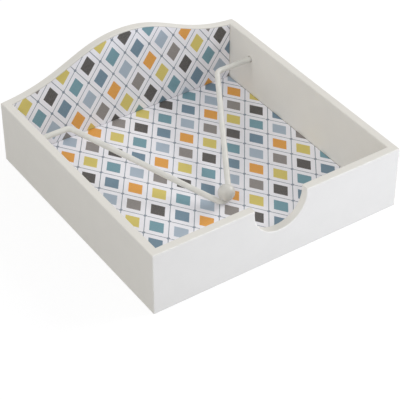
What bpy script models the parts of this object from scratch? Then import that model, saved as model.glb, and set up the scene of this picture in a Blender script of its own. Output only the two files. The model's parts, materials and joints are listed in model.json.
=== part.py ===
"""Napkin holder: a square lacquered tray with an arched back and a swinging wire arm.

X runs to the right as seen from the front, Y to the back and Z up, in metres. The origin
lies under the middle of the tray, on the surface that the tray stands on.
"""

import math

import bmesh
import bpy
from mathutils import Vector

# Tray walls
TRAY_WIDTH = 0.190
TRAY_DEPTH = 0.190
WALL_HEIGHT = 0.047
WALL_THICKNESS = 0.006
EDGE_ROUNDING = 0.0008

# Arched top of the back wall, above the other walls
ARCH_RISE = 0.026
ARCH_CROWN_REACH = 0.036
ARCH_FOOT_REACH = 0.048
ARCH_FOOT_RISE = 0.0035

# Thumb notch in the front wall: a half circle under short straight sides
NOTCH_RADIUS = 0.020
NOTCH_STRAIGHT = 0.0035

# Base panel, let into a rebate under the walls, and the printed sheets
BASE_THICKNESS = 0.002
REBATE_SKIN = 0.002
SHEET_THICKNESS = 0.0002
SHEET_MARGIN = 0.0008

# Hold-down arm
WIRE_DIAMETER = 0.004
AXLE_HEIGHT = 0.0312
AXLE_TO_BACK_WALL = 0.0255
SHOULDER_TO_WALL = 0.0285
ARM_LENGTH = 0.107
WIRE_BEND_RADIUS = 0.006
REST_CLEARANCE = 0.0014

# Grip ball and the stud that it is pressed on
BALL_DIAMETER = 0.0116
BALL_SETBACK = 0.0006
STUD_DIAMETER = 0.0022
STUD_IN_BALL = 0.006

# Blind pivot holes in the side walls
PIVOT_HOLE_SKIN = 0.002
PIVOT_CLEARANCE = 0.0004
PIVOT_END_CLEARANCE = 0.0006

# Steel pins that hold the joints
PIN_LENGTH = 0.016
PIN_SHANK_DIAMETER = 0.001
PIN_HEAD_DIAMETER = 0.0018
PIN_HEAD_HEIGHT = 0.0004
PIN_POINT_LENGTH = 0.0012
PIN_SINK_IN_WALL = 0.0012
PIN_SINK_IN_BASE = 0.0003
PINS_PER_CORNER = 2
BASE_PIN_TO_CORNER = 0.045

# Clearance between pieces that touch, and overrun of every cut
TOUCH_GAP = 0.0003
CUT_OVERRUN = 0.002
WELD_DISTANCE = 0.000001

# Facets
OUTLINE_STEPS = 16
ROUNDING_STEPS = 3
WIRE_BEVEL_STEPS = 6
BEND_STEPS = 10
BALL_SEGMENTS = 32
BALL_RINGS = 20
HOLE_SEGMENTS = 32
PIN_SEGMENTS = 12
FLAT_ANGLE = math.radians(0.05)
ROUNDED_EDGE_ANGLE = math.radians(30)

# A quarter circle drawn with one curve needs handles of this share of its radius
CIRCLE_HANDLE_SHARE = 4 / 3 * (math.sqrt(2) - 1)

# Sizes that follow from the ones above
WIRE_RADIUS = WIRE_DIAMETER / 2
BALL_RADIUS = BALL_DIAMETER / 2
STUD_RADIUS = STUD_DIAMETER / 2
INNER_WIDTH = TRAY_WIDTH - 2 * WALL_THICKNESS
INNER_DEPTH = TRAY_DEPTH - 2 * WALL_THICKNESS
REBATE_WIDTH = TRAY_WIDTH - 2 * REBATE_SKIN
REBATE_DEPTH = TRAY_DEPTH - 2 * REBATE_SKIN
SIDE_PANEL_LENGTH = INNER_DEPTH - 2 * TOUCH_GAP
BASE_TOP = BASE_THICKNESS + TOUCH_GAP + SHEET_THICKNESS
ARCH_HEIGHT = WALL_HEIGHT + ARCH_RISE
STUD_LENGTH = WIRE_RADIUS + TOUCH_GAP + STUD_IN_BALL
AXLE_Y = INNER_DEPTH / 2 - AXLE_TO_BACK_WALL
AXLE_END_X = TRAY_WIDTH / 2 - PIVOT_HOLE_SKIN - PIVOT_END_CLEARANCE
SHOULDER_X = INNER_WIDTH / 2 - SHOULDER_TO_WALL
APEX_HALF_ANGLE = math.atan2(SHOULDER_X, ARM_LENGTH)
GRIP_REACH = ARM_LENGTH - WIRE_BEND_RADIUS * (1 / math.sin(APEX_HALF_ANGLE) - 1)
BALL_REACH = GRIP_REACH - BALL_SETBACK
REST_HEIGHT = BASE_TOP + REST_CLEARANCE + WIRE_RADIUS
ARM_DROP = math.asin((AXLE_HEIGHT - REST_HEIGHT) / GRIP_REACH)


def clear_scene():
    """Removes whatever the scene holds."""
    for obj in list(bpy.data.objects):
        bpy.data.objects.remove(obj, do_unlink=True)


def add_collection(name):
    """Adds a collection under the scene."""
    collection = bpy.data.collections.new(name)
    bpy.context.scene.collection.children.link(collection)
    return collection


def linear_colour(hex_text):
    """Turns an sRGB hex colour into linear red, green, blue and alpha."""
    channels = [int(hex_text[i:i + 2], 16) / 255 for i in (0, 2, 4)]
    linear = [c / 12.92 if c <= 0.04045 else ((c + 0.055) / 1.055) ** 2.4 for c in channels]
    return (*linear, 1)


def add_material(name, hex_text, roughness, metallic):
    """Adds a Principled material."""
    material = bpy.data.materials.new(name)
    material.use_nodes = True
    shader = material.node_tree.nodes["Principled BSDF"]
    shader.inputs["Base Color"].default_value = linear_colour(hex_text)
    shader.inputs["Roughness"].default_value = roughness
    shader.inputs["Metallic"].default_value = metallic
    material.diffuse_color = linear_colour(hex_text)
    return material


def white_lacquer():
    """Satin lacquer sprayed over the fibreboard walls."""
    return add_material("white_lacquer", "E4E2DC", 0.45, 0)


def raw_fibreboard():
    """Bare fibreboard of the base."""
    return add_material("raw_fibreboard", "B49A74", 0.8, 0)


def printed_paper():
    """Pale printed paper that lines the base and the back wall."""
    return add_material("printed_paper", "E2E1E8", 0.55, 0)


def wire_enamel():
    """White enamel on the steel wire."""
    return add_material("wire_enamel", "DEDDD6", 0.35, 0)


def ball_enamel():
    """White enamel on the grip ball."""
    return add_material("ball_enamel", "D6D4CD", 0.35, 0)


def bright_steel():
    """Bright drawn steel of the pins."""
    return add_material("bright_steel", "B9B9B6", 0.35, 1)


def place(name, mesh, collection, material=None, location=(0, 0, 0)):
    """Puts a mesh in the scene as a named object."""
    obj = bpy.data.objects.new(name, mesh)
    obj.location = location
    collection.objects.link(obj)
    if material:
        mesh.materials.append(material)
    return obj


def as_cutter(obj):
    """Marks an object as a guide that isn't part of the model."""
    obj.hide_render = True
    obj.display_type = "WIRE"
    return obj


def box_mesh(name, size):
    """A box of the given size, centred on its origin."""
    mesh = bpy.data.meshes.new(name)
    bm = bmesh.new()
    bmesh.ops.create_cube(bm, size=1)
    bmesh.ops.scale(bm, vec=size, verts=bm.verts)
    bm.to_mesh(mesh)
    bm.free()
    return mesh


def cylinder_mesh(name, radius, length):
    """A closed cylinder along Z, centred on its origin."""
    mesh = bpy.data.meshes.new(name)
    bm = bmesh.new()
    bmesh.ops.create_cone(bm, cap_ends=True, segments=HOLE_SEGMENTS, radius1=radius,
                          radius2=radius, depth=length)
    bm.to_mesh(mesh)
    bm.free()
    return mesh


def mesh_from_curve(name, curve):
    """Turns a filled curve into one closed mesh with welded caps."""
    guide = bpy.data.objects.new(name, curve)
    bpy.context.scene.collection.objects.link(guide)
    bpy.context.view_layer.update()
    evaluated = guide.evaluated_get(bpy.context.evaluated_depsgraph_get())
    mesh = bpy.data.meshes.new_from_object(evaluated)
    mesh.name = name
    mesh.transform(guide.matrix_world)
    bpy.data.objects.remove(guide, do_unlink=True)
    bpy.data.curves.remove(curve)
    bm = bmesh.new()
    bm.from_mesh(mesh)
    bmesh.ops.remove_doubles(bm, verts=bm.verts, dist=WELD_DISTANCE)
    bmesh.ops.recalc_face_normals(bm, faces=bm.faces)
    bm.to_mesh(mesh)
    bm.free()
    return mesh


def stand_upright(mesh):
    """Turns a plate drawn in X and Y so that it stands in X and Z, with clean flat faces."""
    bm = bmesh.new()
    bm.from_mesh(mesh)
    bmesh.ops.rotate(bm, verts=bm.verts, matrix=Vector((0, 0, 1)).rotation_difference(
        Vector((0, -1, 0))).to_matrix())
    bmesh.ops.dissolve_limit(bm, angle_limit=FLAT_ANGLE, verts=bm.verts, edges=bm.edges)
    bm.to_mesh(mesh)
    bm.free()
    return mesh


def corner(x, z):
    """An outline point with straight lines on both sides."""
    point = Vector((x, z, 0))
    return point, point, point


def bent(x, z, before, after):
    """An outline point with handles, given as offsets from the point."""
    point = Vector((x, z, 0))
    return point, point + Vector((*before, 0)), point + Vector((*after, 0))


def plate_mesh(name, outline, thickness):
    """An upright plate with the given outline in X and Z, centred on its own Y = 0."""
    curve = bpy.data.curves.new(name, "CURVE")
    curve.dimensions = "2D"
    curve.fill_mode = "BOTH"
    curve.extrude = thickness / 2
    curve.resolution_u = OUTLINE_STEPS
    curve.render_resolution_u = 0
    spline = curve.splines.new("BEZIER")
    spline.bezier_points.add(len(outline) - 1)
    spline.use_cyclic_u = True
    for target, (point, before, after) in zip(spline.bezier_points, outline):
        target.handle_left_type = "FREE"
        target.handle_right_type = "FREE"
        target.co = point
        target.handle_left = before
        target.handle_right = after
    return stand_upright(mesh_from_curve(name, curve))


def round_edges(obj, butt_axis, butt_places):
    """Rounds a panel's edges, except those in the planes where it meets other panels."""
    mesh = obj.data
    bm = bmesh.new()
    bm.from_mesh(mesh)
    weight = bm.edges.layers.float.new("bevel_weight_edge")
    for edge in bm.edges:
        at_butt = any(all(abs(vert.co[butt_axis] - place_on_axis) < WELD_DISTANCE
                          for vert in edge.verts) for place_on_axis in butt_places)
        if not at_butt and edge.calc_face_angle(0) > ROUNDED_EDGE_ANGLE:
            edge[weight] = 1
    bm.to_mesh(mesh)
    bm.free()
    bevel = obj.modifiers.new("rounded edges", "BEVEL")
    bevel.limit_method = "WEIGHT"
    bevel.width = EDGE_ROUNDING
    bevel.segments = ROUNDING_STEPS


def cut(obj, cutter):
    """Takes the cutter's shape out of an object."""
    boolean = obj.modifiers.new(cutter.name, "BOOLEAN")
    boolean.operation = "DIFFERENCE"
    boolean.solver = "EXACT"
    boolean.object = cutter


def arch_outline(half_width, foot, lowered):
    """The back wall's outline, its top lowered by the given margin."""
    top = ARCH_HEIGHT - lowered
    shoulder = WALL_HEIGHT - lowered
    reach = (ARCH_CROWN_REACH, 0)
    return [corner(-half_width, foot),
            corner(half_width, foot),
            bent(half_width, shoulder, (0, 0), (-ARCH_FOOT_REACH, ARCH_FOOT_RISE)),
            bent(0, top, reach, (-ARCH_CROWN_REACH, 0)),
            bent(-half_width, shoulder, (ARCH_FOOT_REACH, ARCH_FOOT_RISE), (0, 0))]


def notch_outline():
    """The front wall's outline, with the round thumb notch in its top edge."""
    half_width = TRAY_WIDTH / 2
    centre = WALL_HEIGHT - NOTCH_STRAIGHT
    handle = NOTCH_RADIUS * CIRCLE_HANDLE_SHARE
    return [corner(-half_width, 0),
            corner(half_width, 0),
            corner(half_width, WALL_HEIGHT),
            corner(NOTCH_RADIUS, WALL_HEIGHT),
            bent(NOTCH_RADIUS, centre, (0, 0), (0, -handle)),
            bent(0, centre - NOTCH_RADIUS, (handle, 0), (-handle, 0)),
            bent(-NOTCH_RADIUS, centre, (0, -handle), (0, 0)),
            corner(-NOTCH_RADIUS, WALL_HEIGHT),
            corner(-half_width, WALL_HEIGHT)]


def add_rebate(cutters):
    """Cutter for the rebate under the walls that takes the base."""
    height = CUT_OVERRUN + BASE_THICKNESS + TOUCH_GAP
    mesh = box_mesh("base_rebate", (REBATE_WIDTH, REBATE_DEPTH, height))
    top = BASE_THICKNESS + TOUCH_GAP
    return as_cutter(place("base_rebate", mesh, cutters, None, (0, 0, top - height / 2)))


def add_front_panel(parts, rebate, lacquer):
    """Front wall across the whole width, with the thumb notch."""
    mesh = plate_mesh("front_panel", notch_outline(), WALL_THICKNESS)
    middle = (WALL_THICKNESS - TRAY_DEPTH) / 2
    panel = place("front_panel", mesh, parts, lacquer, (0, middle, 0))
    round_edges(panel, 1, [WALL_THICKNESS / 2])
    cut(panel, rebate)
    return panel


def add_back_panel(parts, rebate, lacquer):
    """Back wall across the whole width, with the arched top."""
    mesh = plate_mesh("back_panel", arch_outline(TRAY_WIDTH / 2, 0, 0), WALL_THICKNESS)
    middle = (TRAY_DEPTH - WALL_THICKNESS) / 2
    panel = place("back_panel", mesh, parts, lacquer, (0, middle, 0))
    round_edges(panel, 1, [-WALL_THICKNESS / 2])
    cut(panel, rebate)
    return panel


def add_side_panel(parts, cutters, rebate, lacquer, name, side):
    """Side wall between the front and back walls, with the blind pivot hole in its inner face."""
    mesh = box_mesh(name, (WALL_THICKNESS, SIDE_PANEL_LENGTH, WALL_HEIGHT))
    middle = side * (TRAY_WIDTH - WALL_THICKNESS) / 2
    panel = place(name, mesh, parts, lacquer, (middle, 0, WALL_HEIGHT / 2))
    round_edges(panel, 1, [-SIDE_PANEL_LENGTH / 2, SIDE_PANEL_LENGTH / 2])
    cut(panel, rebate)
    length = WALL_THICKNESS - PIVOT_HOLE_SKIN + CUT_OVERRUN
    hole = cylinder_mesh(name + "_pivot_hole", WIRE_RADIUS + PIVOT_CLEARANCE, length)
    hole_x = side * (TRAY_WIDTH / 2 - PIVOT_HOLE_SKIN - length / 2)
    cutter = as_cutter(place(name + "_pivot_hole", hole, cutters, None,
                             (hole_x, AXLE_Y, AXLE_HEIGHT)))
    cutter.rotation_euler.y = math.pi / 2
    cut(panel, cutter)
    return panel


def add_base_panel(parts, fibreboard):
    """Thin base in the rebate, flush with the walls' lower edges."""
    size = (REBATE_WIDTH - 2 * TOUCH_GAP, REBATE_DEPTH - 2 * TOUCH_GAP, BASE_THICKNESS)
    return place("base_panel", box_mesh("base_panel", size), parts, fibreboard,
                 (0, 0, BASE_THICKNESS / 2))


def add_base_sheet(parts, paper):
    """Printed sheet on the base, between the walls."""
    size = (INNER_WIDTH - 2 * TOUCH_GAP, INNER_DEPTH - 2 * TOUCH_GAP, SHEET_THICKNESS)
    return place("base_print_sheet", box_mesh("base_print_sheet", size), parts, paper,
                 (0, 0, BASE_TOP - SHEET_THICKNESS / 2))


def add_back_sheet(parts, cutters, paper):
    """Printed sheet on the back wall, cut to the arch and trimmed between the side walls."""
    foot = BASE_TOP + TOUCH_GAP
    outline = arch_outline(TRAY_WIDTH / 2, foot, SHEET_MARGIN)
    mesh = plate_mesh("back_print_sheet", outline, SHEET_THICKNESS)
    middle = INNER_DEPTH / 2 - TOUCH_GAP - SHEET_THICKNESS / 2
    sheet = place("back_print_sheet", mesh, parts, paper, (0, middle, 0))
    size = (WALL_THICKNESS + CUT_OVERRUN, WALL_THICKNESS, ARCH_HEIGHT)
    for name, side in (("left", -1), ("right", 1)):
        edge = INNER_WIDTH / 2 - TOUCH_GAP + size[0] / 2
        trim = as_cutter(place("sheet_trim_" + name, box_mesh("sheet_trim_" + name, size),
                               cutters, None, (side * edge, middle, ARCH_HEIGHT / 2)))
        cut(sheet, trim)
    return sheet


def rounded_path(corners, radius):
    """Points along straight runs joined by arcs of one radius."""
    path = [corners[0]]
    for before, here, after in zip(corners, corners[1:], corners[2:]):
        back = (before - here).normalized()
        ahead = (after - here).normalized()
        half = back.angle(ahead) / 2
        middle = (back + ahead).normalized()
        centre = here + middle * (radius / math.sin(half))
        start = here + back * (radius / math.tan(half)) - centre
        end = here + ahead * (radius / math.tan(half)) - centre
        turn = start.rotation_difference(end)
        for step in range(BEND_STEPS + 1):
            path.append(centre + turn_share(turn, step / BEND_STEPS) @ start)
    path.append(corners[-1])
    return path


def turn_share(turn, share):
    """The given share of a rotation."""
    axis, angle = turn.to_axis_angle()
    return turn.__class__(axis, angle * share)


def wire_curve(path):
    """A round wire along the path."""
    curve = bpy.data.curves.new("hold_down_wire", "CURVE")
    curve.dimensions = "3D"
    curve.bevel_depth = WIRE_RADIUS
    curve.bevel_resolution = WIRE_BEVEL_STEPS
    curve.use_fill_caps = True
    spline = curve.splines.new("POLY")
    spline.points.add(len(path) - 1)
    for target, point in zip(spline.points, path):
        target.co = (*point, 1)
    return curve


def add_pivot(parts):
    """Empty on the arm's axle. Its X axis is the hinge axis."""
    pivot = bpy.data.objects.new("arm_pivot", None)
    pivot.location = (0, AXLE_Y, AXLE_HEIGHT)
    pivot.rotation_euler.x = ARM_DROP
    parts.objects.link(pivot)
    return pivot


def add_wire(parts, cutters, pivot, enamel):
    """One bent wire: axle ends in the side walls, two legs, and a stud for the ball."""
    corners = [Vector((AXLE_END_X, 0, 0)), Vector((SHOULDER_X, 0, 0)),
               Vector((0, -ARM_LENGTH, 0)), Vector((-SHOULDER_X, 0, 0)),
               Vector((-AXLE_END_X, 0, 0))]
    curve = wire_curve(rounded_path(corners, WIRE_BEND_RADIUS))
    wire = place("hold_down_wire", mesh_from_curve("hold_down_wire", curve), parts, enamel)
    wire.parent = pivot
    stud_mesh = cylinder_mesh("grip_stud", STUD_RADIUS, STUD_LENGTH)
    stud = as_cutter(place("grip_stud", stud_mesh, cutters, None,
                           (0, -BALL_REACH, STUD_LENGTH / 2)))
    stud.parent = pivot
    union = wire.modifiers.new("stud", "BOOLEAN")
    union.operation = "UNION"
    union.solver = "EXACT"
    union.object = stud
    return wire


def add_ball(parts, cutters, pivot, enamel):
    """Grip ball that stands on the wire's front bend, over the stud."""
    mesh = bpy.data.meshes.new("grip_ball")
    bm = bmesh.new()
    bmesh.ops.create_uvsphere(bm, u_segments=BALL_SEGMENTS, v_segments=BALL_RINGS,
                              radius=BALL_RADIUS)
    bm.to_mesh(mesh)
    bm.free()
    mesh.shade_smooth()
    centre = WIRE_RADIUS + TOUCH_GAP + BALL_RADIUS
    ball = place("grip_ball", mesh, parts, enamel, (0, -BALL_REACH, centre))
    ball.parent = pivot
    bore = cylinder_mesh("ball_bore", STUD_RADIUS + TOUCH_GAP, STUD_LENGTH + CUT_OVERRUN)
    middle = STUD_LENGTH + TOUCH_GAP - (STUD_LENGTH + CUT_OVERRUN) / 2
    cutter = as_cutter(place("ball_bore", bore, cutters, None, (0, -BALL_REACH, middle)))
    cutter.parent = pivot
    cut(ball, cutter)
    return ball


def pin_mesh(name, grow, above_head):
    """Half the profile of a pin, head at the top, grown by a clearance and run on above."""
    head = PIN_HEAD_DIAMETER / 2 + grow
    shank = PIN_SHANK_DIAMETER / 2 + grow
    under_head = -PIN_HEAD_HEIGHT - grow
    profile = [(0, above_head), (head, above_head), (head, under_head), (shank, under_head),
               (shank, PIN_POINT_LENGTH - PIN_LENGTH), (0, -PIN_LENGTH - grow)]
    mesh = bpy.data.meshes.new(name)
    bm = bmesh.new()
    verts = [bm.verts.new((radius, 0, height)) for radius, height in profile]
    for upper, lower in zip(verts, verts[1:]):
        bm.edges.new((upper, lower))
    bm.to_mesh(mesh)
    bm.free()
    return mesh


def turned(obj):
    """Turns an object's profile about its own Z axis."""
    screw = obj.modifiers.new("turned", "SCREW")
    screw.axis = "Z"
    screw.angle = 2 * math.pi
    screw.steps = PIN_SEGMENTS
    screw.render_steps = PIN_SEGMENTS
    screw.use_merge_vertices = True
    screw.merge_threshold = WELD_DISTANCE
    screw.use_smooth_shade = False
    return obj


def drive_pin(parts, cutters, steel, name, head, direction, above_head, panels):
    """Adds a pin with its head at the given place and bores its hole in the panels it joins."""
    heading = Vector((0, 0, -1)).rotation_difference(Vector(direction)).to_euler()
    pin = turned(place(name, pin_mesh(name, 0, 0), parts, steel, head))
    pin.rotation_euler = heading
    hole_name = name + "_hole"
    hole = place(hole_name, pin_mesh(hole_name, TOUCH_GAP, above_head), cutters, None, head)
    turned(hole).rotation_euler = heading
    as_cutter(hole)
    for panel in panels:
        cut(panel, hole)


def add_corner_pins(parts, cutters, steel, panels):
    """Pins through the front and back walls into the ends of the side walls."""
    row_x = (TRAY_WIDTH - WALL_THICKNESS) / 2
    head_y = TRAY_DEPTH / 2 - PIN_SINK_IN_WALL
    for end, inward in (("front", 1), ("back", -1)):
        for side, sign in (("left", -1), ("right", 1)):
            for count in range(PINS_PER_CORNER):
                height = WALL_HEIGHT * (count + 0.5) / PINS_PER_CORNER
                drive_pin(parts, cutters, steel, f"{end}_{side}_pin_{count + 1}",
                          (sign * row_x, -inward * head_y, height), (0, inward, 0), TOUCH_GAP,
                          (panels[end], panels[side]))


def add_base_pins(parts, cutters, steel, panels):
    """Pins from below, through the edges of the base into the four walls."""
    row_x = (INNER_WIDTH + REBATE_WIDTH) / 4
    row_y = (INNER_DEPTH + REBATE_DEPTH) / 4
    along_x = TRAY_WIDTH / 2 - BASE_PIN_TO_CORNER
    along_y = TRAY_DEPTH / 2 - BASE_PIN_TO_CORNER
    rows = {"front": [(-along_x, -row_y), (along_x, -row_y)],
            "back": [(-along_x, row_y), (along_x, row_y)],
            "left": [(-row_x, -along_y), (-row_x, along_y)],
            "right": [(row_x, -along_y), (row_x, along_y)]}
    for wall, places in rows.items():
        for count, (x, y) in enumerate(places):
            drive_pin(parts, cutters, steel, f"base_{wall}_pin_{count + 1}",
                      (x, y, PIN_SINK_IN_BASE), (0, 0, 1), CUT_OVERRUN,
                      (panels["base"], panels[wall]))


def main():
    """Builds the napkin holder."""
    clear_scene()
    parts = add_collection("napkin_holder")
    cutters = add_collection("cutters")
    lacquer = white_lacquer()
    paper = printed_paper()
    rebate = add_rebate(cutters)
    panels = {"front": add_front_panel(parts, rebate, lacquer),
              "back": add_back_panel(parts, rebate, lacquer),
              "left": add_side_panel(parts, cutters, rebate, lacquer, "left_side_panel", -1),
              "right": add_side_panel(parts, cutters, rebate, lacquer, "right_side_panel", 1),
              "base": add_base_panel(parts, raw_fibreboard())}
    add_base_sheet(parts, paper)
    add_back_sheet(parts, cutters, paper)
    pivot = add_pivot(parts)
    add_wire(parts, cutters, pivot, wire_enamel())
    add_ball(parts, cutters, pivot, ball_enamel())
    steel = bright_steel()
    add_corner_pins(parts, cutters, steel, panels)
    add_base_pins(parts, cutters, steel, panels)
    bpy.context.view_layer.update()


main()
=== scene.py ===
"""Dresses the napkin holder: fine shapes, finishes, stage, lamps and camera."""

import json
import math

import bmesh
import bpy
from bpy.props import FloatProperty, FloatVectorProperty, IntProperty, PointerProperty
from bpy.types import Operator, Panel, PropertyGroup
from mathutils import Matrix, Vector


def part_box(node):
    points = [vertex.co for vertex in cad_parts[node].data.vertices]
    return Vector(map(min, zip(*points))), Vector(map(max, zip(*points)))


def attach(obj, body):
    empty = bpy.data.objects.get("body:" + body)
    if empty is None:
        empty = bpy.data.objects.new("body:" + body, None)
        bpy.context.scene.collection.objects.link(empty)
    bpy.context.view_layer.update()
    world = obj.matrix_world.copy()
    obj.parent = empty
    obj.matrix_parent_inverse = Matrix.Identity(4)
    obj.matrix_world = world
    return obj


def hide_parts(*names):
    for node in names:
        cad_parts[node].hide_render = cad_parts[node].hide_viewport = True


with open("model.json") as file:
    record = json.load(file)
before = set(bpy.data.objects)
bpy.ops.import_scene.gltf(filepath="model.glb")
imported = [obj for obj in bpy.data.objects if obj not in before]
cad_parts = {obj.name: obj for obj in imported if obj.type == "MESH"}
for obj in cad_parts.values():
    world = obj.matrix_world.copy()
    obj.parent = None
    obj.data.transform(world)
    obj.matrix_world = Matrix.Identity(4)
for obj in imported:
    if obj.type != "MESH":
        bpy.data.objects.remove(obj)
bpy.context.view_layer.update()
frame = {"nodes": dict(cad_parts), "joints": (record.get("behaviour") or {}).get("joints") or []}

bl_info = {
    "name": "Napkin Holder Dresser",
    "version": (1, 0, 0),
    "blender": (4, 5, 0),
    "location": "3D View > Sidebar > Napkin Holder",
    "description": "Paints, prints and lights a square napkin holder with a swinging wire arm",
    "category": "Object",
}

MM = 0.001

# Air that the frame leaves between pieces that touch
TOUCH_GAP = 0.3 * MM

# Tray, as the frame gives it
front_low, front_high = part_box("front_panel")
back_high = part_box("back_panel")[1]
board_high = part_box("base_panel")[1]
base_sheet_low, base_sheet_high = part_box("base_print_sheet")
HALF_WIDTH = front_high.x
HALF_DEPTH = back_high.y
WALL = front_high.y - front_low.y
RIM = front_high.z
CROWN = back_high.z

# Arched top of the back wall: one curve from each corner to the crown
CROWN_REACH = 36 * MM
FOOT_REACH = 48 * MM
FOOT_RISE = 3.5 * MM

# Thumb notch
NOTCH_RADIUS = 20 * MM
NOTCH_STRAIGHT = 3.5 * MM

# Underside of the walls
REBATE_SKIN = 2 * MM
REBATE_TOP = board_high.z + TOUCH_GAP

# Arm: one bent wire that swings on its own ends, and hangs low over the base at rest
AXLE = Vector(frame["joints"][0]["pos_m"])
wire_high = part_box("hold_down_wire")[1]
ball_low, ball_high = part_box("grip_ball")
BALL_RADIUS = (ball_high.x - ball_low.x) / 2
WIRE_RADIUS = 2 * MM
REST_CLEARANCE = 1.4 * MM
AXLE_END_X = wire_high.x
SHOULDER_X = 60.5 * MM
ARM_LENGTH = 107 * MM
BEND_RADIUS = 6 * MM
BEND_CUT = BEND_RADIUS * (1 / math.sin(math.atan2(SHOULDER_X, ARM_LENGTH)) - 1)
GRIP_REACH = ARM_LENGTH - BEND_CUT
REST_HEIGHT = base_sheet_high.z + REST_CLEARANCE + WIRE_RADIUS
ARM_DROP = math.asin((AXLE.z - REST_HEIGHT) / GRIP_REACH)
ALONG_ARM = Vector((0, -math.cos(ARM_DROP), -math.sin(ARM_DROP)))
ABOVE_ARM = Vector((0, -math.sin(ARM_DROP), math.cos(ARM_DROP)))
BALL_SETBACK = 0.6 * MM
BALL_LIFT = WIRE_RADIUS + TOUCH_GAP + BALL_RADIUS
PIVOT_HOLE_RADIUS = 2.4 * MM
PIVOT_HOLE_DEPTH = 4 * MM

# Enamel that runs from the ball down onto the wire
NECK_HEIGHT = 1.2 * MM
NECK_FLARE = 1.15

# Fineness of the curved shapes
ARCH_STEPS = 72
NOTCH_STEPS = 48
EDGE_STEPS = 4
BEND_STEPS = 20
HOLE_SIDES = 48
BALL_STEPS = 32
BALL_SIDES = 64
SMOOTH_ANGLE = math.radians(50)
MERGE_DISTANCE = 0.001 * MM
COLLAPSE_DISTANCE = 0.0001 * MM

# Noise: the spans of it that are spread over a shade or a roughness, and its coarseness
NOISE_SPAN = (0.3, 0.7)
CLOUD_SPAN = (0.35, 0.7)
FIBRE_SPAN = (0.4, 0.65)
NOISE_ROUGHNESS = 0.55

# Sockets of a Mix node by number, because those for numbers and colours share their names
MIX_FACTOR = 0
NUMBER_A = 2
NUMBER_B = 3
COLOUR_A = 6
COLOUR_B = 7
MIXED_NUMBER = 0
MIXED_COLOUR = 2

# Camera at the photograph's viewing angle
CAMERA_AZIMUTH = math.radians(-33.93)
CAMERA_ELEVATION = math.radians(38.88)
CAMERA_ROLL = math.radians(-0.10)
CAMERA_DISTANCE = 0.970
CAMERA_TARGET = Vector((-30, -49, 30)) * MM
CAMERA_LENS = 137
CAMERA_CLIP_START = 0.01

# Floor: from its middle to its edge
FLOOR_REACH = 6

# Lamps: place and size, all facing the tray
LAMP_TARGET = Vector((0, 0, 0.03))
SIDE_LAMP = (Vector((-0.95, -0.10, 0.70)), (1.0, 1.0))
RIGHT_LAMP = (Vector((1.70, 0, 0.90)), (0.5, 0.5))
CORNER_LAMP = (Vector((1.45, -0.60, 1.10)), (0.6, 0.6))
FRONT_CARD = (Vector((0.07, -0.32, 0.02)), (0.6, 0.03))


def linear(hex_text):
    """Turns an sRGB hex colour into linear red, green, blue and alpha."""
    channels = [int(hex_text[i:i + 2], 16) / 255 for i in (0, 2, 4)]
    return (*[c / 12.92 if c <= 0.04045 else ((c + 0.055) / 1.055) ** 2.4 for c in channels], 1)


def colour(name, description, hex_text):
    """A colour that the user can change."""
    return FloatVectorProperty(name=name, description=description, subtype="COLOR", size=4,
                               min=0, max=1, default=linear(hex_text))


def length(name, description, default):
    """A length that the user can change."""
    return FloatProperty(name=name, description=description, default=default, min=0,
                         unit="LENGTH", subtype="DISTANCE", precision=4)


class NapkinHolderTraySettings(PropertyGroup):
    """Sizes and colours of the painted tray."""

    edge_radius: length("Edge radius", "Rounding of the painted edges", 0.8 * MM)
    sheet_margin: length("Sheet margin", "Board left bare between sheet and wall", 0.35 * MM)
    lacquer: colour("Lacquer", "Satin lacquer on the walls", "E2DFD8")
    board: colour("Board", "Bare fibreboard of the base", "9C8662")


class NapkinHolderPatternSettings(PropertyGroup):
    """Sizes and colours of the printed lozenge pattern."""

    mesh_width: length("Mesh width", "Width of one mesh of the trellis", 20 * MM)
    mesh_height: length("Mesh height", "Height of one mesh of the trellis", 28 * MM)
    line_width: length("Line width", "Thickness of the trellis lines", 0.55 * MM)
    dot_radius: length("Dot radius", "Radius of the dots at the crossings", 1.1 * MM)
    fill: FloatProperty(name="Fill", description="Lozenge size as a share of its mesh",
                        default=0.58, min=0, max=1, subtype="FACTOR")
    paper: colour("Paper", "Pale ground of the sheets", "F7F6FB")
    line: colour("Line", "Trellis lines and dots", "8E98A2")
    teal: colour("Teal", "First ink", "6F9AA6")
    orange: colour("Orange", "Second ink", "E6A03A")
    charcoal: colour("Charcoal", "Third ink", "4A4642")
    mist: colour("Mist", "Fourth ink", "A9B8C6")
    mustard: colour("Mustard", "Fifth ink", "D9C766")
    slate: colour("Slate", "Sixth ink", "6B8799")
    stone: colour("Stone", "Seventh ink", "8B8581")


class NapkinHolderArmSettings(PropertyGroup):
    """Smoothness and colours of the hold-down arm."""

    wire_sides: IntProperty(name="Wire sides", description="Facets round the wire",
                            default=32, min=8, max=64)
    enamel: colour("Enamel", "Dipped enamel on the wire", "E3E2DC")
    # The ball's enamel is set greyer than the wire's, though both are one dip: painted shade on
    # the ball
    ball: colour("Ball", "Dipped enamel on the grip ball", "D3D1CB")


class NapkinHolderStageSettings(PropertyGroup):
    """Backdrop and lamps."""

    floor: colour("Floor", "Paper that the holder stands on", "989898")
    floor_lift: FloatProperty(name="Floor lift", description="White added to the floor in view",
                              default=0.745, min=0, max=1, subtype="FACTOR")
    room: FloatProperty(name="Room light", description="Level of the even light from all sides",
                        default=0.53, min=0, soft_max=1)
    side: FloatProperty(name="Side lamp", description="Power of the softbox on the left",
                        default=4.9, min=0, unit="POWER")
    right: FloatProperty(name="Right lamp", description="Power of the lamp far on the right",
                         default=11.0, min=0, unit="POWER")
    corner: FloatProperty(name="Corner lamp", description="Power of the lamp at the front right",
                          default=6.2, min=0, unit="POWER")
    card: FloatProperty(name="Front card", description="Power of the low card before the front",
                        default=0.62, min=0, unit="POWER")
    card_tint: colour("Card tint", "Coolness of the light from the card", "E9EFFF")


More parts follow.
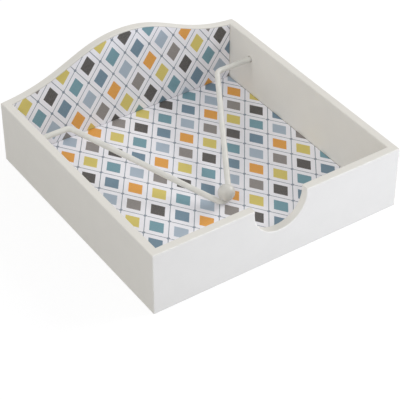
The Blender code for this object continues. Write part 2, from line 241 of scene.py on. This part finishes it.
class NapkinHolderSettings(PropertyGroup):
    """All settings of the napkin holder."""

    tray: PointerProperty(type=NapkinHolderTraySettings)
    pattern: PointerProperty(type=NapkinHolderPatternSettings)
    arm: PointerProperty(type=NapkinHolderArmSettings)
    stage: PointerProperty(type=NapkinHolderStageSettings)


def add_node(tree, kind, settings=None, inputs=None):
    """Adds a node, sets its properties, and gives its inputs values or links."""
    node = tree.nodes.new(kind)
    for key, value in (settings or {}).items():
        setattr(node, key, value)
    for key, value in (inputs or {}).items():
        if isinstance(value, bpy.types.NodeSocket):
            tree.links.new(value, node.inputs[key])
        else:
            node.inputs[key].default_value = value
    return node


def new_material(name):
    """Adds an empty node material with its shader joined to its output."""
    material = bpy.data.materials.new(name)
    material.use_nodes = True
    tree = material.node_tree
    tree.nodes.clear()
    shader = add_node(tree, "ShaderNodeBsdfPrincipled")
    add_node(tree, "ShaderNodeOutputMaterial", None, {"Surface": shader.outputs["BSDF"]})
    return material, tree, shader


def grain(tree, size, detail, stretch=(1, 1, 1)):
    """Noise whose lumps are about as wide as the given size."""
    place = add_node(tree, "ShaderNodeTexCoord").outputs["Object"]
    stretched = add_node(tree, "ShaderNodeVectorMath", {"operation": "MULTIPLY"},
                         {0: place, 1: stretch})
    return add_node(tree, "ShaderNodeTexNoise", {"noise_dimensions": "3D"},
                    {"Vector": stretched.outputs["Vector"], "Scale": 1 / size,
                     "Detail": detail, "Roughness": NOISE_ROUGHNESS}).outputs["Fac"]


def clouded(tree, base, noise, span, shade):
    """Colour that goes down to a shade of itself where a noise is high."""
    depth = add_node(tree, "ShaderNodeMapRange", {"clamp": True},
                     {"Value": noise, "From Min": span[0], "From Max": span[1],
                      "To Min": 0, "To Max": 1}).outputs["Result"]
    dark = [channel * shade for channel in base[:3]] + [1]
    mixed = add_node(tree, "ShaderNodeMix", {"data_type": "RGBA"},
                     {MIX_FACTOR: depth, COLOUR_A: tuple(base), COLOUR_B: tuple(dark)})
    return mixed.outputs[MIXED_COLOUR]


def coat(tree, shader, noise, roughness, relief, strength, depth):
    """Lets the roughness follow a noise between two values, and raises the surface a little."""
    gloss = add_node(tree, "ShaderNodeMapRange", {"clamp": True},
                     {"Value": noise, "From Min": NOISE_SPAN[0], "From Max": NOISE_SPAN[1],
                      "To Min": roughness[0], "To Max": roughness[1]})
    bump = add_node(tree, "ShaderNodeBump", None,
                    {"Height": relief, "Strength": strength, "Distance": depth})
    tree.links.new(gloss.outputs["Result"], shader.inputs["Roughness"])
    tree.links.new(bump.outputs["Normal"], shader.inputs["Normal"])


def sprayed_lacquer(settings):
    """Satin lacquer sprayed on sanded fibreboard: faint orange peel and a cloudy film."""
    material, tree, shader = new_material("sprayed_satin_lacquer")
    # Orange peel is 1 to 3 mm from lump to lump, and clouds in the film are a finger wide
    cloud = grain(tree, size=14 * MM, detail=3)
    peel = grain(tree, size=1.6 * MM, detail=2)
    film = clouded(tree, settings.lacquer, cloud, CLOUD_SPAN, shade=0.98)
    tree.links.new(film, shader.inputs["Base Color"])
    coat(tree, shader, peel, roughness=(0.55, 0.65), relief=peel, strength=0.25,
         depth=0.05 * MM)
    return material


def bare_fibreboard(settings):
    """Pressed wood fibre: short pale and dark fibres in a matt brown board."""
    material, tree, shader = new_material("pressed_fibreboard")
    # Single fibres are under 0.1 mm thick; they are drawn as tufts of 1 mm, so that they show
    fibres = grain(tree, size=1.2 * MM, detail=4, stretch=(0.4, 1, 1))
    board = clouded(tree, settings.board, fibres, FIBRE_SPAN, shade=0.72)
    tree.links.new(board, shader.inputs["Base Color"])
    shader.inputs["Roughness"].default_value = 0.85
    bump = add_node(tree, "ShaderNodeBump", None,
                    {"Height": fibres, "Strength": 0.5, "Distance": 0.1 * MM})
    tree.links.new(bump.outputs["Normal"], shader.inputs["Normal"])
    return material


def dipped_enamel(name, base):
    """Dipped stoving enamel: a smooth thick film with slight waves and uneven gloss."""
    material, tree, shader = new_material(name)
    # Waves run about as wide as the wire; the specks are drawn coarser, so that they show
    waves = grain(tree, size=5 * MM, detail=2)
    specks = grain(tree, size=0.9 * MM, detail=2)
    film = clouded(tree, base, waves, CLOUD_SPAN, shade=0.93)
    tree.links.new(film, shader.inputs["Base Color"])
    coat(tree, shader, waves, roughness=(0.3, 0.42), relief=specks, strength=0.2,
         depth=0.04 * MM)
    return material


def drawn_steel():
    """Bright drawn steel of the pins, with fine marks from the die."""
    material, tree, shader = new_material("bright_drawn_steel")
    # Marks of the die are finer than 0.2 mm; they are drawn at that, so that they show
    marks = grain(tree, size=0.2 * MM, detail=2, stretch=(1, 1, 4))
    shader.inputs["Base Color"].default_value = linear("B9B9B6")
    shader.inputs["Metallic"].default_value = 1
    coat(tree, shader, marks, roughness=(0.25, 0.4), relief=marks, strength=0.2,
         depth=0.01 * MM)
    return material


def lozenge_print(settings, upright):
    """Offset print on coated paper: a fine trellis with one coloured lozenge in each mesh."""
    name = "offset_print_upright" if upright else "offset_print_flat"
    material, tree, shader = new_material(name)
    place = add_node(tree, "ShaderNodeTexCoord").outputs["Object"]
    axes = add_node(tree, "ShaderNodeSeparateXYZ", None, {0: place}).outputs

    # Paper tooth is about 0.1 mm; it is drawn coarser, so that it shows. The ink follows it.
    tooth = grain(tree, size=0.8 * MM, detail=3)
    paper = clouded(tree, settings.paper, tooth, CLOUD_SPAN, shade=0.97)
    strength = add_node(tree, "ShaderNodeMapRange", {"clamp": True},
                        {"Value": tooth, "From Min": NOISE_SPAN[0], "From Max": NOISE_SPAN[1],
                         "To Min": 1, "To Max": 0.93})

    # Inks in a fixed round: steps of 2 and 3 along the trellis never repeat one beside itself
    inks = [settings.teal, settings.orange, settings.charcoal, settings.mist,
            settings.mustard, settings.slate, settings.stone]
    # A line's width across its own direction, as a share of one mesh
    line_share = settings.line_width * math.hypot(1 / settings.mesh_width,
                                                  1 / settings.mesh_height)

    # Each row names a value, and gives its operation and what that works on
    values = {"x": axes["X"], "y": axes["Z"] if upright else axes["Y"],
              "strength": strength.outputs["Result"]}
    rows = (
        ("across", "DIVIDE", "x", settings.mesh_width),
        ("along", "DIVIDE", "y", settings.mesh_height),
        ("first", "ADD", "across", "along"),
        ("second", "SUBTRACT", "across", "along"),

        # Distance from the middle of the mesh
        ("first share", "FRACT", "first"),
        ("second share", "FRACT", "second"),
        ("first shift", "SUBTRACT", "first share", 0.5),
        ("second shift", "SUBTRACT", "second share", 0.5),
        ("first offset", "ABSOLUTE", "first shift"),
        ("second offset", "ABSOLUTE", "second shift"),
        ("widest", "MAXIMUM", "first offset", "second offset"),
        ("in lozenge", "LESS_THAN", "widest", settings.fill / 2),
        ("on line", "GREATER_THAN", "widest", 0.5 - line_share / 2),

        # Distance from the nearest crossing
        ("first crossing", "ROUND", "first"),
        ("second crossing", "ROUND", "second"),
        ("first miss", "SUBTRACT", "first", "first crossing"),
        ("second miss", "SUBTRACT", "second", "second crossing"),
        ("miss sum", "ADD", "first miss", "second miss"),
        ("miss gap", "SUBTRACT", "first miss", "second miss"),
        ("miss across", "MULTIPLY", "miss sum", settings.mesh_width / 2),
        ("miss along", "MULTIPLY", "miss gap", settings.mesh_height / 2),
        ("square across", "POWER", "miss across", 2),
        ("square along", "POWER", "miss along", 2),
        ("squares", "ADD", "square across", "square along"),
        ("miss", "SQRT", "squares"),
        ("on dot", "LESS_THAN", "miss", settings.dot_radius),
        ("drawn", "MAXIMUM", "on line", "on dot"),

        # Place of the mesh's ink in the round
        ("first cell", "FLOOR", "first"),
        ("second cell", "FLOOR", "second"),
        ("first step", "MULTIPLY", "first cell", 2),
        ("second step", "MULTIPLY", "second cell", 3),
        ("order", "ADD", "first step", "second step"),
        ("turn", "FLOORED_MODULO", "order", len(inks)),
        ("middle of turn", "ADD", "turn", 0.5),
        ("pick", "DIVIDE", "middle of turn", len(inks)),
        ("ink", "MULTIPLY", "in lozenge", "strength"),
    )
    for label, operation, *parts in rows:
        inputs = {count: values.get(part, part) for count, part in enumerate(parts)}
        node = add_node(tree, "ShaderNodeMath", {"operation": operation}, inputs)
        values[label] = node.outputs["Value"]

    ramp = add_node(tree, "ShaderNodeValToRGB", None, {"Fac": values["pick"]})
    ramp.color_ramp.interpolation = "CONSTANT"
    while len(ramp.color_ramp.elements) < len(inks):
        ramp.color_ramp.elements.new(1)
    for count, ink in enumerate(inks):
        ramp.color_ramp.elements[count].position = count / len(inks)
        ramp.color_ramp.elements[count].color = ink
    lined = add_node(tree, "ShaderNodeMix", {"data_type": "RGBA"},
                     {MIX_FACTOR: values["drawn"], COLOUR_A: paper,
                      COLOUR_B: tuple(settings.line)})
    inked = add_node(tree, "ShaderNodeMix", {"data_type": "RGBA"},
                     {MIX_FACTOR: values["ink"], COLOUR_A: lined.outputs[MIXED_COLOUR],
                      COLOUR_B: ramp.outputs["Color"]})
    tree.links.new(inked.outputs[MIXED_COLOUR], shader.inputs["Base Color"])
    coat(tree, shader, tooth, roughness=(0.5, 0.62), relief=tooth, strength=0.15,
         depth=0.02 * MM)
    return material


def bezier(start, start_handle, end_handle, end, steps):
    """Points along one cubic curve, its ends included."""
    points = []
    for step in range(steps + 1):
        t = step / steps
        s = 1 - t
        points.append(s ** 3 * start + 3 * s * s * t * start_handle
                      + 3 * s * t * t * end_handle + t ** 3 * end)
    return points


def arch_path(half_length, steps):
    """The arched rim from left to right, cut off at the side walls' inner faces."""
    crown = Vector((0, CROWN))
    left = Vector((-HALF_WIDTH, RIM))
    right = Vector((HALF_WIDTH, RIM))
    lift = Vector((0, FOOT_RISE))
    reach = Vector((CROWN_REACH, 0))
    run = Vector((FOOT_REACH, 0))
    path = bezier(left, left + run + lift, crown - reach, crown, steps)
    path += bezier(crown, crown + reach, right - run + lift, right, steps)[1:]
    inside = [point for point in path if abs(point.x) < half_length]
    ends = []
    for sign in (-1, 1):
        for before, after in zip(path, path[1:]):
            low, high = sorted((before.x, after.x))
            if low <= sign * half_length <= high:
                share = (sign * half_length - before.x) / (after.x - before.x)
                ends.append(before.lerp(after, share))
                break
    return [ends[0], *inside, ends[1]]


def notch_path(half_length, steps):
    """The front rim from left to right, down through the thumb notch."""
    centre = Vector((0, RIM - NOTCH_STRAIGHT))
    path = [Vector((-half_length, RIM)), Vector((-NOTCH_RADIUS, RIM))]
    for step in range(steps + 1):
        angle = math.pi * (1 + step / steps)
        path.append(centre + NOTCH_RADIUS * Vector((math.cos(angle), math.sin(angle))))
    return path + [Vector((NOTCH_RADIUS, RIM)), Vector((half_length, RIM))]


def lowered(path, drop):
    """The path moved into the wall by a distance, square to itself, with mitred corners."""
    straight_down = Vector((0, -1))
    normals = []
    for before, after in zip(path, path[1:]):
        run = (after - before).normalized()
        normals.append(Vector((run.y, -run.x)))
    befores = [straight_down, *normals[:-1], straight_down]
    afters = [straight_down, *normals[1:], straight_down]
    moved = []
    for point, before, after in zip(path, befores, afters):
        moved.append(point + (before + after) * (drop / (1 + before.dot(after))))
    return moved


def footing(path):
    """Positions along the wall's foot, spread as the path's points are spread along it."""
    travelled = [0]
    for before, after in zip(path, path[1:]):
        travelled.append(travelled[-1] + (after - before).length)
    start, end = path[0].x, path[-1].x
    return [start + (end - start) * distance / travelled[-1] for distance in travelled]


def quarter_round(radius, steps):
    """Inset and drop of the points round a rounded edge, from the face up to the top."""
    angles = [math.pi / 2 * step / steps for step in range(steps + 1)]
    return [(radius * (1 - math.cos(a)), radius * (1 - math.sin(a))) for a in angles]


def tray_walls(radius):
    """The four walls as one closed ring of loops, each loop at one inset from the outside."""
    half_x = HALF_WIDTH - WALL
    half_y = HALF_DEPTH - WALL
    arch = arch_path(half_x, ARCH_STEPS)
    rise = arch[0].y - RIM
    side = [Vector((-half_y, RIM)), Vector((0, RIM + rise / 2)), Vector((half_y, RIM + rise))]
    side_back = [Vector((-point.x, point.y)) for point in reversed(side)]
    arch_back = [Vector((-point.x, point.y)) for point in reversed(arch)]
    # Each wall: its path, the outward direction, the direction that the path runs in, and the
    # distance of its outer face from the middle
    walls = [(notch_path(half_x, NOTCH_STEPS), Vector((0, -1)), Vector((1, 0)), HALF_DEPTH),
             (side, Vector((1, 0)), Vector((0, 1)), HALF_WIDTH),
             (arch_back, Vector((0, 1)), Vector((-1, 0)), HALF_DEPTH),
             (side_back, Vector((-1, 0)), Vector((0, -1)), HALF_WIDTH)]

    # How far the inner corner after each wall lies above the rim
    corner_rises = [0, rise, rise, 0]

    quarter = quarter_round(radius, EDGE_STEPS)
    profile = quarter + [(WALL - inset, drop) for inset, drop in reversed(quarter)]
    foot_radius = radius / 2
    foot = [(REBATE_SKIN, 0), (foot_radius, 0), (0, foot_radius)]
    foot_inside = [(WALL, REBATE_TOP), (REBATE_SKIN, REBATE_TOP)]

    def loop(inset, heights_of, corner_height, on_rim):
        """One loop round the tray at an inset; on the rim its corners follow the arch's foot."""
        points = []
        share = inset / WALL if on_rim else 0
        for (path, outward, run, reach), lift in zip(walls, corner_rises):
            for along, height in heights_of(path):
                place = outward * (reach - inset) + run * along
                points.append((place.x, place.y, height))
            round_off = max(radius - inset, 0)
            centre_out = reach - max(inset, radius)
            next_reach = HALF_WIDTH if outward.y else HALF_DEPTH
            centre_run = next_reach - max(inset, radius)
            for step in range(EDGE_STEPS + 1):
                angle = math.pi / 2 * step / EDGE_STEPS
                place = (outward * (centre_out + round_off * math.cos(angle))
                         + run * (centre_run + round_off * math.sin(angle)))
                points.append((place.x, place.y, corner_height + lift * share))
        return points

    loops = []
    for inset, height in foot:
        loops.append(loop(inset, lambda path, z=height: [(x, z) for x in footing(path)],
                          height, on_rim=False))
    for inset, drop in profile:
        loops.append(loop(inset, lambda path, d=drop: [tuple(p) for p in lowered(path, d)],
                          RIM - drop, on_rim=True))
    for inset, height in foot_inside:
        loops.append(loop(inset, lambda path, z=height: [(x, z) for x in footing(path)],
                          height, on_rim=False))
    return loops


def ring_mesh(name, loops):
    """Closed mesh through loops of equal length, the last joined to the first."""
    mesh = bpy.data.meshes.new(name)
    bm = bmesh.new()
    rows = [[bm.verts.new(point) for point in points] for points in loops]
    for lower, upper in zip(rows, rows[1:] + rows[:1]):
        for i in range(len(lower)):
            j = (i + 1) % len(lower)
            bm.faces.new((lower[i], lower[j], upper[j], upper[i]))
    bmesh.ops.remove_doubles(bm, verts=bm.verts, dist=MERGE_DISTANCE)
    bmesh.ops.dissolve_degenerate(bm, edges=bm.edges, dist=COLLAPSE_DISTANCE)
    bmesh.ops.recalc_face_normals(bm, faces=bm.faces)
    bm.to_mesh(mesh)
    bm.free()
    return mesh


def add_object(name, mesh, material):
    """Puts a mesh in the scene with one material."""
    obj = bpy.data.objects.new(name, mesh)
    bpy.context.scene.collection.objects.link(obj)
    mesh.materials.append(material)
    return obj


def shade_evenly(obj):
    """Shades rounded edges smooth, with flat faces kept flat."""
    obj.data.shade_smooth()
    obj.data.set_sharp_from_angle(angle=SMOOTH_ANGLE)
    even = obj.modifiers.new("even shading", "WEIGHTED_NORMAL")
    even.keep_sharp = True


def bore_pivot_holes(obj, bare):
    """Cuts the blind pivot holes into the side walls' inner faces, with bare board inside."""
    overrun = 1 * MM
    obj.data.materials.append(bare)
    for side in (-1, 1):
        mesh = bpy.data.meshes.new("pivot_hole")
        bm = bmesh.new()
        bmesh.ops.create_cone(bm, cap_ends=True, segments=HOLE_SIDES, radius1=PIVOT_HOLE_RADIUS,
                              radius2=PIVOT_HOLE_RADIUS, depth=PIVOT_HOLE_DEPTH + overrun)
        for face in bm.faces:
            face.material_index = 1
        bm.to_mesh(mesh)
        bm.free()
        for material in obj.data.materials:
            mesh.materials.append(material)
        drill = bpy.data.objects.new("pivot_hole", mesh)
        bpy.context.scene.collection.objects.link(drill)
        drill.rotation_euler.y = math.pi / 2
        middle = HALF_WIDTH - WALL + (PIVOT_HOLE_DEPTH - overrun) / 2
        drill.location = (side * middle, AXLE.y, AXLE.z)
        cut = obj.modifiers.new("pivot hole", "BOOLEAN")
        cut.operation = "DIFFERENCE"
        cut.solver = "EXACT"
        cut.object = drill
        bpy.context.view_layer.update()
        evaluated = obj.evaluated_get(bpy.context.evaluated_depsgraph_get())
        bored = bpy.data.meshes.new_from_object(evaluated)
        obj.modifiers.clear()
        obj.data = bored
        bpy.data.objects.remove(drill, do_unlink=True)


def rounded_path(corners, radius, steps):
    """Points along straight runs joined by arcs of one radius."""
    path = [corners[0]]
    for before, here, after in zip(corners, corners[1:], corners[2:]):
        back = (before - here).normalized()
        ahead = (after - here).normalized()
        half = back.angle(ahead) / 2
        centre = here + (back + ahead).normalized() * (radius / math.sin(half))
        start = here + back * (radius / math.tan(half)) - centre
        end = here + ahead * (radius / math.tan(half)) - centre
        for step in range(steps + 1):
            path.append(centre + start.slerp(end, step / steps) * start.length)
    path.append(corners[-1])
    return path


def swept_wire(name, path, radius, sides):
    """Round wire of a radius along a path, with closed ends."""
    curve = bpy.data.curves.new(name, "CURVE")
    curve.dimensions = "3D"
    curve.bevel_depth = radius
    # A bevel of resolution n has 2 n + 4 sides
    curve.bevel_resolution = sides // 2 - 2
    curve.use_fill_caps = True
    spline = curve.splines.new("POLY")
    spline.points.add(len(path) - 1)
    for target, point in zip(spline.points, path):
        target.co = (*point, 1)
    guide = bpy.data.objects.new(name, curve)
    bpy.context.scene.collection.objects.link(guide)
    bpy.context.view_layer.update()
    evaluated = guide.evaluated_get(bpy.context.evaluated_depsgraph_get())
    mesh = bpy.data.meshes.new_from_object(evaluated)
    bpy.data.objects.remove(guide, do_unlink=True)
    bm = bmesh.new()
    bm.from_mesh(mesh)
    bmesh.ops.remove_doubles(bm, verts=bm.verts, dist=MERGE_DISTANCE)
    bmesh.ops.recalc_face_normals(bm, faces=bm.faces)
    bm.to_mesh(mesh)
    bm.free()
    return mesh


def turned_mesh(name, profile, segments):
    """Closed mesh turned about Z from a profile of radius and height, top to bottom."""
    mesh = bpy.data.meshes.new(name)
    bm = bmesh.new()
    rows = []
    for radius, height in profile:
        angles = [2 * math.pi * step / segments for step in range(segments)]
        rows.append([bm.verts.new((radius * math.cos(a), radius * math.sin(a), height))
                     for a in angles])
    for upper, lower in zip(rows, rows[1:]):
        for i in range(segments):
            j = (i + 1) % segments
            bm.faces.new((upper[i], lower[i], lower[j], upper[j]))
    bm.faces.new(rows[-1])
    bmesh.ops.remove_doubles(bm, verts=bm.verts, dist=MERGE_DISTANCE)
    bmesh.ops.recalc_face_normals(bm, faces=bm.faces)
    bm.to_mesh(mesh)
    bm.free()
    return mesh


def ball_profile(steps):
    """Ball with a short neck of enamel that runs down onto the wire."""
    profile = []
    lowest = math.acos(-math.sqrt(1 - (WIRE_RADIUS / BALL_RADIUS) ** 2))
    for step in range(steps + 1):
        angle = lowest * step / steps
        profile.append((BALL_RADIUS * math.sin(angle), BALL_RADIUS * math.cos(angle)))
    profile.append((WIRE_RADIUS * NECK_FLARE, -BALL_RADIUS - NECK_HEIGHT))
    return profile


class NAPKIN_HOLDER_OT_walls(Operator):
    """Adds the painted walls as one seamless piece"""

    bl_idname = "napkin_holder.walls"
    bl_label = "Painted Walls"

    def execute(self, context):
        settings = context.scene.napkin_holder.tray
        mesh = ring_mesh("painted_walls", tray_walls(settings.edge_radius))
        walls = add_object("painted_walls", mesh, sprayed_lacquer(settings))
        bore_pivot_holes(walls, bare_fibreboard(settings))
        shade_evenly(walls)
        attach(walls, "tray")
        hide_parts("front_panel", "back_panel", "left_side_panel", "right_side_panel")
        return {"FINISHED"}


class NAPKIN_HOLDER_OT_base(Operator):
    """Finishes the base board and lays the printed sheet on it"""

    bl_idname = "napkin_holder.base"
    bl_label = "Base"

    def execute(self, context):
        settings = context.scene.napkin_holder
        board = frame["nodes"]["base_panel"]
        board.material_slots[0].material = bare_fibreboard(settings.tray)
        mesh = bpy.data.meshes.new("base_sheet")
        bm = bmesh.new()
        bmesh.ops.create_cube(bm, size=1)
        half_x = HALF_WIDTH - WALL - settings.tray.sheet_margin
        front = settings.tray.sheet_margin + WALL - HALF_DEPTH
        back = base_sheet_high.y
        thick = base_sheet_high.z - base_sheet_low.z
        bmesh.ops.scale(bm, vec=(2 * half_x, back - front, thick), verts=bm.verts)
        middle = Vector((0, (back + front) / 2, base_sheet_low.z + thick / 2))
        bmesh.ops.translate(bm, vec=middle, verts=bm.verts)
        bm.to_mesh(mesh)
        bm.free()
        print_on_base = lozenge_print(settings.pattern, upright=False)
        sheet = add_object("base_sheet", mesh, print_on_base)
        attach(sheet, "tray")
        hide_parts("base_print_sheet")
        return {"FINISHED"}


class NAPKIN_HOLDER_OT_back_sheet(Operator):
    """Prints the sheet on the arched back wall"""

    bl_idname = "napkin_holder.back_sheet"
    bl_label = "Back Sheet"

    def execute(self, context):
        sheet = frame["nodes"]["back_print_sheet"]
        settings = context.scene.napkin_holder.pattern
        sheet.material_slots[0].material = lozenge_print(settings, upright=True)
        return {"FINISHED"}


class NAPKIN_HOLDER_OT_arm(Operator):
    """Adds the enamelled wire arm and its grip ball"""

    bl_idname = "napkin_holder.arm"
    bl_label = "Hold-down Arm"

    def execute(self, context):
        settings = context.scene.napkin_holder.arm
        end = Vector((AXLE_END_X, 0, 0))
        shoulder = Vector((SHOULDER_X, 0, 0))
        corners = [AXLE + end, AXLE + shoulder, AXLE + ALONG_ARM * ARM_LENGTH,
                   AXLE - shoulder, AXLE - end]
        path = rounded_path(corners, BEND_RADIUS, BEND_STEPS)
        mesh = swept_wire("enamelled_wire", path, WIRE_RADIUS, settings.wire_sides)
        wire = add_object("enamelled_wire", mesh, dipped_enamel("wire_enamel", settings.enamel))
        shade_evenly(wire)
        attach(wire, "arm")
        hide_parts("hold_down_wire")

        mesh = turned_mesh("enamelled_ball", ball_profile(BALL_STEPS), BALL_SIDES)
        mesh.transform(ABOVE_ARM.to_track_quat("Z", "Y").to_matrix().to_4x4())
        # The ball's darker copy of the enamel paints shade onto the ball
        ball = add_object("enamelled_ball", mesh, dipped_enamel("ball_enamel", settings.ball))
        ball.location = AXLE + ALONG_ARM * (GRIP_REACH - BALL_SETBACK) + ABOVE_ARM * BALL_LIFT
        ball.data.shade_smooth()
        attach(ball, "arm")
        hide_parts("grip_ball")
        return {"FINISHED"}


class NAPKIN_HOLDER_OT_pins(Operator):
    """Gives the pins their bright steel"""

    bl_idname = "napkin_holder.pins"
    bl_label = "Pins"

    def execute(self, context):
        steel = drawn_steel()
        for name, pin in frame["nodes"].items():
            if "_pin_" in name:
                pin.material_slots[0].material = steel
        return {"FINISHED"}


def seen_by_camera(tree):
    """One for rays from the camera, straight or mirrored, and nothing for other light."""
    rays = add_node(tree, "ShaderNodeLightPath").outputs
    mirrored = add_node(tree, "ShaderNodeMath", {"operation": "MAXIMUM"},
                        {0: rays["Is Glossy Ray"], 1: rays["Is Transmission Ray"]})
    seen = add_node(tree, "ShaderNodeMath", {"operation": "MAXIMUM"},
                    {0: rays["Is Camera Ray"], 1: mirrored.outputs["Value"]})
    return seen.outputs["Value"]


def paper_sweep(settings):
    """Matt white paper, lifted towards white for the camera, so that a faint shadow is left."""
    material, tree, shader = new_material("matt_paper_sweep")
    shader.inputs["Base Color"].default_value = settings.floor
    shader.inputs["Roughness"].default_value = 1
    shader.inputs["Specular IOR Level"].default_value = 0
    lift = add_node(tree, "ShaderNodeMath", {"operation": "MULTIPLY"},
                    {0: seen_by_camera(tree), 1: settings.floor_lift})
    shader.inputs["Emission Color"].default_value = linear("FFFFFF")
    tree.links.new(lift.outputs["Value"], shader.inputs["Emission Strength"])
    return material


def add_lamp(name, spot, power, tint):
    """Soft rectangular lamp that faces the tray."""
    place, (wide, high) = spot
    data = bpy.data.lights.new(name, "AREA")
    data.shape = "RECTANGLE"
    data.size = wide
    data.size_y = high
    data.energy = power
    data.color = tint[:3]
    lamp = bpy.data.objects.new(name, data)
    lamp.location = place
    lamp.rotation_euler = (LAMP_TARGET - place).to_track_quat("-Z", "Y").to_euler()
    lamp.visible_camera = False
    bpy.context.scene.collection.objects.link(lamp)


def light_room(level):
    """Even light from all sides, with a backdrop that is white to the camera."""
    world = bpy.data.worlds.new("studio")
    bpy.context.scene.world = world
    world.use_nodes = True
    tree = world.node_tree
    tree.nodes.clear()
    strength = add_node(tree, "ShaderNodeMix", {"data_type": "FLOAT"},
                        {MIX_FACTOR: seen_by_camera(tree), NUMBER_A: level, NUMBER_B: 1})
    sky = add_node(tree, "ShaderNodeBackground", None,
                   {"Color": linear("FFFFFF"), "Strength": strength.outputs[MIXED_NUMBER]})
    add_node(tree, "ShaderNodeOutputWorld", None, {"Surface": sky.outputs["Background"]})


def add_camera():
    """Camera at the photograph's viewing angle."""
    data = bpy.data.cameras.new("camera")
    data.lens = CAMERA_LENS
    data.clip_start = CAMERA_CLIP_START
    back = Vector((math.sin(CAMERA_AZIMUTH) * math.cos(CAMERA_ELEVATION),
                   -math.cos(CAMERA_AZIMUTH) * math.cos(CAMERA_ELEVATION),
                   math.sin(CAMERA_ELEVATION)))
    camera = bpy.data.objects.new("camera", data)
    camera.location = CAMERA_TARGET + back * CAMERA_DISTANCE
    facing = (-back).to_track_quat("-Z", "Y")
    camera.rotation_euler = facing.to_euler()
    camera.rotation_euler.rotate_axis("Z", CAMERA_ROLL)
    bpy.context.scene.collection.objects.link(camera)
    bpy.context.scene.camera = camera


class NAPKIN_HOLDER_OT_stage(Operator):
    """Adds the floor, the lamps and the camera"""

    bl_idname = "napkin_holder.stage"
    bl_label = "Stage"

    def execute(self, context):
        settings = context.scene.napkin_holder.stage
        mesh = bpy.data.meshes.new("floor")
        bm = bmesh.new()
        bmesh.ops.create_grid(bm, x_segments=1, y_segments=1, size=FLOOR_REACH)
        bm.to_mesh(mesh)
        bm.free()
        floor = add_object("floor", mesh, paper_sweep(settings))
        light_room(settings.room)
        white = linear("FFFFFF")
        add_lamp("side_lamp", SIDE_LAMP, settings.side, white)
        add_lamp("right_lamp", RIGHT_LAMP, settings.right, white)
        add_lamp("corner_lamp", CORNER_LAMP, settings.corner, white)
        add_lamp("front_card", FRONT_CARD, settings.card, settings.card_tint)
        add_camera()
        context.scene.view_settings.view_transform = "Standard"
        return {"FINISHED"}


class NAPKIN_HOLDER_PT_sidebar(Panel):
    """Lists the napkin holder's settings and pieces"""

    bl_idname = "NAPKIN_HOLDER_PT_sidebar"
    bl_label = "Napkin Holder"
    bl_space_type = "VIEW_3D"
    bl_region_type = "UI"
    bl_category = "Napkin Holder"

    def draw(self, context):
        layout = self.layout
        for operator in OPERATORS:
            layout.operator(operator.bl_idname)
        for group in ("tray", "pattern", "arm", "stage"):
            box = layout.box()
            box.label(text=group.capitalize())
            settings = getattr(context.scene.napkin_holder, group)
            for name in settings.__annotations__:
                box.prop(settings, name)


SETTINGS = (NapkinHolderTraySettings, NapkinHolderPatternSettings, NapkinHolderArmSettings,
            NapkinHolderStageSettings, NapkinHolderSettings)
OPERATORS = (NAPKIN_HOLDER_OT_walls, NAPKIN_HOLDER_OT_base, NAPKIN_HOLDER_OT_back_sheet,
             NAPKIN_HOLDER_OT_arm, NAPKIN_HOLDER_OT_pins, NAPKIN_HOLDER_OT_stage)
CLASSES = (*SETTINGS, *OPERATORS, NAPKIN_HOLDER_PT_sidebar)


def register():
    """Registers the classes and the scene's settings."""
    for cls in CLASSES:
        bpy.utils.register_class(cls)
    bpy.types.Scene.napkin_holder = PointerProperty(type=NapkinHolderSettings)


def unregister():
    """Takes the classes and settings away again."""
    del bpy.types.Scene.napkin_holder
    for cls in reversed(CLASSES):
        bpy.utils.unregister_class(cls)


def main():
    """Dresses the holder piece by piece."""
    register()
    bpy.ops.napkin_holder.walls()
    bpy.ops.napkin_holder.base()
    bpy.ops.napkin_holder.back_sheet()
    bpy.ops.napkin_holder.arm()
    bpy.ops.napkin_holder.pins()
    bpy.ops.napkin_holder.stage()


if __name__ == "__main__":
    main()
